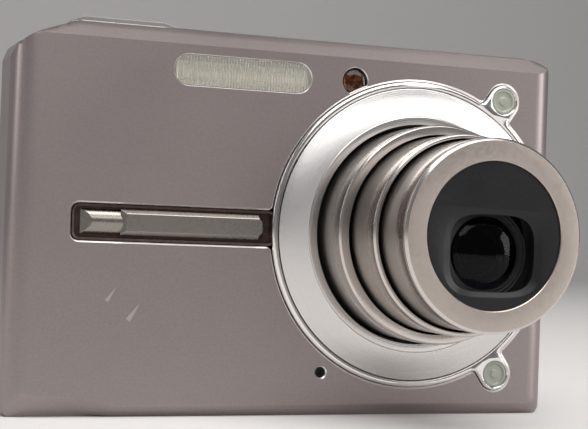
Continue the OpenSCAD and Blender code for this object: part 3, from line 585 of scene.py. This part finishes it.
outer = [(cover_rows(YF, 0.3), YF)]
outer += [(cover_rows(YF + t), YF + t) for t in (0, 0.05, 0.2, 0.45, 0.8, 1.15, 1.5, 2.0, 2.4, 2.55)]
outer += [(cover_rows(y, 0, STEP), y) for y in (YF + 2.56, COVER_BACK)]
outer += [(cover_rows(y, SKIN), y) for y in (COVER_BACK, YF + 2.4, YF + 1.2, YF + SKIN)]
lamp_hole = clear_of_ring(circle(LAMP, LAMP_R, 64), RIM_R + 0.5)
flat_x = HALF_W - SIDE_R - 0.8      # the ring overhangs the rounded side, so its cut-out stops here
trim_hole = [(min(x, flat_x), z) for x, z in trim_outline(0)]
holes = [hole(trim_hole, 0.26), hole(stadium(FLASH, FLASH_LEN, FLASH_R), 0.14), hole(lamp_hole, 0.12),
         hole(circle(MIC, MIC_R, 32), 0.2)]
solid("front_cover_shell", [(outer, None)] + holes, ["cover", "cut_edge"], "camera_body", "anodised_cover",
      replaces=("front_cover",), angle=24)

# ---------------------------------------------------------------- trim, lens ring, grip
LUGS = [polar((LX, LZ), LUG_AT, math.radians(a)) for a in (-LUG_ANGLE, LUG_ANGLE)]
RIM_FRONT, RIM_BACK = YF - 0.38, YF + SKIN
rim = [(plate_rows(trim_outline(-0.14, False), RIM_FRONT, RIM_BACK, 0.3), None),
       (plate_rows(circle((LX, LZ), RIM_BORE, 256), RIM_FRONT, RIM_BACK, 0.22, -1), None)]
rim += [(plate_rows(circle(c, 2.12, 48), RIM_FRONT, RIM_BACK, 0.2, -1), None) for c in LUGS]
solid("trim_rim", rim, ["chrome"], "camera_body", "bright_metal", replaces=("trim_plate",), angle=50)

tray_centre = (-19.7, LZ)
tray_out = rect(tray_centre, 31.9, 5.34, 1.3)
tray_in = rect(tray_centre, 31.1, 4.5, 0.9)
tray_rows = [(tray_in, YF + 1.02), (inset(tray_in, -0.06), YF + 0.3), (tray_out, YF + 0.16),
             (tray_out, YF + 1.4)]
solid("slot_tray", [(tray_rows, None)], ["tray"], "camera_body", "bright_metal")

lathe("lens_ring_dish",
      [(17.5, -8.5), (18.72, -8.5), (18.8, -8.44), (18.9, -8.47), (23.38, -7.37), (23.38, -7.08),
       (19.9, -7.08), (19.9, RIM_BACK), (17.5, RIM_BACK)], ["dish"], "camera_body", "bright_metal",
      radii=[0.12, 0.03, 0.03, 0.03, 0.1, 0.05, 0, 0, 0], replaces=("lens_ring",))


BAR_X0, SADDLE_X1, TIP_X = -34.3, -28.31, -6.6       # the bar's left end, its saddle's end, its tip's start
SADDLE_W, SADDLE_R, BAR_W = 1.85, 2.5, 1.9           # half widths, and the saddle's radius
BAR_BACK = YF + 0.98


def grip_section(x):
    """Points (z, y) of the grip bar's cross-section at x: a round saddle at the left, then a flat bar."""
    long = x > SADDLE_X1
    w = BAR_W - max(0, x - TIP_X) if long else SADDLE_W
    c = max(0.12, w - 0.6)
    flank = [-w + (w - c - 0.03) * k / 11 for k in range(12)]
    zs = flank + [-c + 0.03 + 2 * (c - 0.03) * k / 24 for k in range(25)] + [-z for z in reversed(flank)]
    pts = []
    for z in zs:
        bow = YF + 0.1 + SADDLE_R - math.sqrt(SADDLE_R ** 2 - min(abs(z), SADDLE_W) ** 2) if x < -27.2 else 0
        flat = YF - 0.25 + max(0, abs(z) - c, -0.75 * (x + 27.5), x - TIP_X - 0.5)
        facet = YF + 0.9 - (x - BAR_X0) * 0.5
        pts.append((z, max(min(bow, flat) if long else bow, facet)))
    return [(-w, BAR_BACK)] + pts + [(w, BAR_BACK)]


def loft(sections):
    """Vertices and faces of a solid through equal closed sections, with flat ends."""
    n, count = len(sections[0]), len(sections)
    verts = [p for section in sections for p in section]
    faces = []
    for i in range(0, (count - 1) * n, n):
        faces += [(i + k, i + (k + 1) % n, i + n + (k + 1) % n, i + n + k) for k in range(n)]
    return verts, faces + [tuple(range(n)), tuple(range((count - 1) * n, count * n))]


FINE = 0.05      # mm between sections where the bar's facets meet
xs = [BAR_X0 + FINE * k for k in range(43)] + [-31.5, -30, -28.6, SADDLE_X1 - 0.01, SADDLE_X1 + 0.01]
xs += [-28.25 + FINE * k for k in range(20)] + [-26.5 + 1.96 * k for k in range(11)]
xs += [TIP_X + FINE * k for k in range(23)]
bar_sections = [[(x, y, LZ + 0.1 + z) for z, y in grip_section(x)] for x in xs]
piece("grip_bar_metal", *loft(bar_sections), ["bar"], "camera_body", "dark_bar", replaces=("grip_bar",),
      angle=22)

for k, c in enumerate(LUGS):
    lathe(f"lug_window_{k}",
          [(0, -7.22), (0.55, -7.22), (0.85, -7.02), (1.45, -7.02), (1.75, -7.26), (2.08, -7.2),
           (2.08, -6.4), (0, -6.4)], ["clear"], "camera_body", "clear_window", centre=c, segs=64,
          radii=0.08, replaces=("lug_windows",))

# ---------------------------------------------------------------- flash and lamp
RIBS, RIB = 96, 0.24            # the flash window's back is ribbed: steps along it, and the ribs' depth
half, end_r = FLASH_LEN / 2 - 0.05, FLASH_R - 0.05
flash_sections = []
for k in range(RIBS + 1):
    x = -half + 2 * half * k / RIBS
    over = max(0, abs(x) - (half - end_r))
    h = math.sqrt(max(0.01, end_r ** 2 - over ** 2))
    front, back = YF + 0.06, YF + 0.95 - (RIB if k % 2 else 0)
    corner_points = ((front, h), (front, -h), (back, -h), (back, h))
    flash_sections.append([(FLASH[0] + x, y, FLASH[1] + z) for y, z in corner_points])
piece("flash_lens", *loft(flash_sections), ["flash_glass"], "camera_body", "clear_window",
      replaces=("flash_window",), angle=10)

lamp = lathe("lamp_lens",
             [(0, -6.92), (1.1, -6.86), (1.75, -6.72), (2.07, -6.5), (2.07, -5.95), (0, -5.95)], ["amber"],
             "camera_body", "amber_window", centre=LAMP, segs=64, radii=0.15, replaces=("lamp_window",))
for v in lamp.data.vertices:
    (x, z), = clear_of_ring([(v.co.x / MM, v.co.z / MM)], RIM_R + 0.4)
    v.co.x, v.co.z = x * MM, z * MM
lathe("lamp_cup", [(0, -5.0), (0.5, -5.0), (1.35, -5.9), (1.45, -5.9), (1.45, -4.5), (0, -4.5)], ["gold"],
      "camera_body", "amber_window", centre=LAMP, segs=48, radii=0.04)

# ---------------------------------------------------------------- barrels
for k in (0, 1):
    r, y, length = RADII[k], FRONTS[k], LENGTHS[k]
    lip = RADII[k + 1] + 0.3
    lathe(f"barrel_{k + 1}_tube",
          [(r - 0.28, y), (r, y + 0.28), (r, y + 2.95), (r - 0.06, y + 3.0), (r - 0.06, y + length),
           (r - WALL, y + length), (r - WALL, y + 0.8), (lip, y + 0.8), (lip, y)],
          ["barrel", "barrel_lip", "black", "barrel_front"], f"barrel_{k + 1}", "barrel_metal",
          radii=[0.06, 0.06, 0.02, 0.02, 0.1, 0.1, 0.05, 0.05, 0.1],
          bands=[(lambda a, b: b < y + 0.3 and a > lip, 1), (lambda a, b: a < r - 0.4, 2),
                 (lambda a, b: b < y + 2.97, 3)],
          replaces=(f"barrel_{k + 1}",))
r, y, length = RADII[2], FRONTS[2], LENGTHS[2]
lathe("barrel_3_tube",
      [(r - 0.04, y + 0.9), (r, y + 0.95), (r, y + 3.35), (r - 0.06, y + 3.4), (r - 0.06, y + length),
       (r - WALL, y + length), (r - WALL, y + 0.9)], ["barrel", "black", "barrel_front"], "barrel_3",
      "barrel_metal", radii=[0.02, 0.02, 0.02, 0.02, 0.1, 0.1, 0],
      bands=[(lambda a, b: a < r - 0.4, 1), (lambda a, b: b < y + 3.37, 2)], replaces=("barrel_3",))
bore = MASK_R + 0.03
lathe("front_ring_face",
      [(bore, y + 0.12), (bore + 0.12, y), (r - 0.42, y), (r, y + 0.42), (r, y + 0.88), (bore, y + 0.88)],
      ["front_ring", "barrel_lip"], "barrel_3", "ring_metal", radii=[0.03, 0.05, 0.08, 0.08, 0.04, 0.02],
      bands=[(lambda a, b: b < y + 0.45 and a > r - 0.4, 1)], replaces=("front_ring",))

RAYS = [2 * math.pi * k / 192 for k in range(192)]      # directions from the optical axis


def window(w, h):
    """The window's outline about the optical axis, with gently bowed sides."""
    pts, p = [], 3.6
    for a in RAYS:
        d = (abs(math.cos(a) / (w / 2)) ** p + abs(math.sin(a) / (h / 2)) ** p) ** (-1 / p)
        pts.append(polar((LX, AZ), d, a))
    return pts


def ray_circle(rad):
    """A circle about the barrels' centre, with its points in the same directions from the optical axis."""
    pts, off = [], LZ - AZ
    for a in RAYS:
        rise = math.sin(a) * off
        pts.append(polar((LX, AZ), rise + math.sqrt(rad ** 2 - off ** 2 + rise ** 2), a))
    return pts


mask_rim = [(ray_circle(MASK_R - 0.03), y + 0.3), (ray_circle(MASK_R), y + 0.36),
            (ray_circle(MASK_R), y + 0.9), (ray_circle(MASK_OUT), y + 0.93), (ray_circle(MASK_OUT), y + 1.3)]
mask_hole = [(window(15.9, 12.7), y + 0.3), (window(15.7, 12.5), y + 0.34), (window(14.0, 11.5), y + 0.72),
             (window(13.6, 11.15), y + 0.8), (window(13.5, 11.1), y + 1.3)]
solid("lens_mask_plate", [(mask_rim, None), (mask_hole, None)], ["mask"], "barrel_3", "black_plastic",
      replaces=("lens_mask",), angle=40)

# lens behind the window: a domed front element in a stepped, ribbed cell. Profiles are (radius, depth).
LENS_PARTS = [
    ("front_element", (LX, AZ), "lens", "optical_glass", 96, 0.4, 5, ("front_lens",),
     [(0, 2.35), (1.5, 2.41), (3.0, 2.6), (4.3, 2.9), (5.3, 3.28), (5.3, 4.5), (4.2, 4.4), (2.5, 4.1),
      (0, 3.95)]),
    ("lens_cell_steps", (LX, AZ), "black", "black_plastic", 96, 0.03, 3, ("lens_cell",),
     [(6.6, 2.9), (6.5, 3.1), (6.1, 2.95), (6.0, 3.25), (5.6, 3.1), (5.5, 3.45), (5.42, 3.3), (5.42, 4.62),
      (4.7, 4.65), (4.6, 4.95), (4.25, 4.9), (4.15, 5.2), (3.8, 5.15), (3.7, 5.5), (3.3, 5.45), (3.3, 6.4),
      (6.6, 6.4)]),
    ("lens_cell_plate", (LX, LZ), "black", "black_plastic", 128, 0.05, 3, (),
     [(MASK_OUT, 3.9), (MASK_OUT, 4.6), (6.7, 4.6), (6.7, 3.9)]),
    ("inner_element", (LX, AZ), "lens", "optical_glass", 96, 0.15, 3, (),
     [(0, 5.55), (1.2, 5.6), (3.2, 5.85), (3.2, 6.3), (0, 6.3)])]
for name, centre, mat, slot, segs, soft, n, nodes, profile in LENS_PARTS:
    lathe(name, [(a, FRONTS[2] + b) for a, b in profile], [mat], "barrel_3", slot, centre=centre, segs=segs,
          radii=soft, n=n, replaces=nodes)

# ---------------------------------------------------------------- round keys on the back
KEY_UP, KEY_DEEP = 0.3, 0.64      # how far the keys stand out of the back, and reach into it
for node, c, r, mat in [("set_button", PAD, 3.0, "key"), ("menu_button", (-38, 11), 2.3, "key"),
                        ("play_button", (-16, 43), 2.3, "key"), ("record_button", (-16, 11), 2.3, "red")]:
    up = YB + KEY_UP
    lathe(f"{node}_cap",
          [(0, up), (r * 0.55, up - 0.02), (r - 0.3, up - 0.08), (r, up - 0.3), (r, YB - KEY_DEEP),
           (0, YB - KEY_DEEP)], [mat], node, "record_key" if mat == "red" else "key_metal", centre=c, segs=96,
          radii=0.12, n=4, replaces=(node,))
lathe("direction_ring_cap",
      [(3.3, YB - 0.34), (3.3, YB + 0.2), (3.55, YB + 0.3), (5.8, YB + 0.18), (7.6, YB + 0.44),
       (8.35, YB + 0.25), (8.4, YB - 0.34)], ["key"], "direction_ring", "key_metal", centre=PAD, segs=160,
      radii=[0.03, 0.1, 0.15, 1.4, 0.3, 0.2, 0.03], n=6, replaces=("direction_ring",))

# ---------------------------------------------------------------- CAD nodes that keep their shape
SOFTENED = {                      # material: {node: width of its softened edges}
    "cover": {"rear_cover": 0.14, "battery_door": 0.12},
    "top": {"top_plate": 0.1, "shutter_button": 0.16, "power_button": 0.14},
    "key": {"zoom_rocker": 0.2},
    "black": {"direction_pivot": 0.04, "microphone": 0.06, "speaker": 0.06, "lens_housing": 0.08,
              "light_seal": 0, "battery_box": 0.08, "cradle_connector": 0.08, "cam_ring": 0.03},
    "display": {"display_window": 0.12},
    "chip": {"display_panel": 0.1, "image_sensor": 0.04, "board_chips": 0.06},
    "steel": {"chassis": 0.05, "zoom_motor": 0.15, "card_slot": 0.06, "tripod_socket": 0.08,
              "key_switches": 0.03, "strap_bar": 0.05, "case_screws": 0.05},
    "reflector": {"flash_reflector": 0.04},
    "tube": {"flash_tube": 0.04},
    "sleeve": {"flash_capacitor": 0.2},
    "board": {"sensor_board": 0.04, "main_board": 0.04, "key_board": 0.03},
    "lens": {"focus_lens": 0.05},
    "card": {"memory_card": 0.12},
    "cell": {"battery": 0.25},
    "gold": {"battery_contacts": 0.04},
    "blade": {"barrier_upper": 0.03, "barrier_lower": 0.03},
    "nylon": {"idler_gear": 0.03},
    "brass": {"motor_pinion": 0.03},
    "orange": {"battery_stopper": 0.12}}
for mat, nodes in SOFTENED.items():
    for node, width in nodes.items():
        dress(node, mat, width)

# ---------------------------------------------------------------- floor, light, camera (metres)
me = bpy.data.meshes.new("floor")
bm = bmesh.new()
near, bend_y, bend_r, top = -1.4, 0.9, 0.5, 2.2       # the paper sweeps up behind the camera body
line = [(near, 0)]
line += [(y, bend_r + z) for y, z in arc((bend_y, 0), bend_r, -90, 0, 16)]
line += [(bend_y + bend_r, top)]
vs = [[bm.verts.new((x, y, z)) for x in (-2, 2)] for y, z in line]
for a, b in zip(vs, vs[1:]):
    bm.faces.new((a[0], a[1], b[1], b[0]))
bm.to_mesh(me)
bm.free()
me.shade_smooth()
floor = bpy.data.objects.new("floor", me)
bpy.context.scene.collection.objects.link(floor)
me.materials.append(surface("pale_paper", (0.80, 0.79, 0.78), 0, 0.75, 0.01, 400, 0.05, 3))

world = bpy.data.worlds.new("studio")
bpy.context.scene.world = world
world.use_nodes = True
world.node_tree.nodes["Background"].inputs[0].default_value = (0.80, 0.80, 0.82, 1)
world.node_tree.nodes["Background"].inputs[1].default_value = 0.2


def softbox(name, at, aim, size, power, colour=(1, 1, 1)):
    data = bpy.data.lights.new(name, "AREA")
    data.shape = "RECTANGLE"
    data.size, data.size_y = size
    data.energy = power
    data.color = colour
    o = bpy.data.objects.new(name, data)
    bpy.context.scene.collection.objects.link(o)
    o.location = at
    o.rotation_euler = (Vector(aim) - Vector(at)).to_track_quat("-Z", "Y").to_euler()


softbox("key", (0.05, -0.35, 0.75), (0.0, 0.0, 0.03), (0.9, 0.5), 6, (1.0, 0.98, 0.96))
softbox("front", (0.25, -0.85, 0.55), (0.0, 0.0, 0.03), (1.0, 0.22), 1.8, (1.0, 0.98, 0.97))
softbox("side", (0.75, -0.45, 0.25), (0.02, 0, 0.03), (0.35, 0.5), 2.2, (1.0, 0.97, 0.95))
softbox("left", (-0.7, 0.05, 0.35), (-0.03, 0, 0.03), (0.3, 0.5), 1.6, (1.0, 0.95, 0.93))

yaw, pitch, roll = (math.radians(v) for v in (20.318, 0.997, -2.098))
fwd = Vector((math.sin(yaw) * math.cos(pitch), math.cos(yaw) * math.cos(pitch), math.sin(pitch)))
level = Vector((math.cos(yaw), -math.sin(yaw), 0))
down = fwd.cross(level)
right = math.cos(roll) * level + math.sin(roll) * down
down = -math.sin(roll) * level + math.cos(roll) * down
cam = bpy.data.objects.new("camera", bpy.data.cameras.new("camera"))
bpy.context.scene.collection.objects.link(cam)
turn = Matrix((right, -down, -fwd)).transposed().to_4x4()
cam.matrix_world = Matrix.Translation((-0.0778, -0.2147, 0.0275)) @ turn
cam.data.sensor_width = 36
cam.data.lens = 87.1
cam.data.clip_start = 0.01
bpy.context.scene.camera = cam
bpy.context.scene.view_settings.view_transform = "Standard"
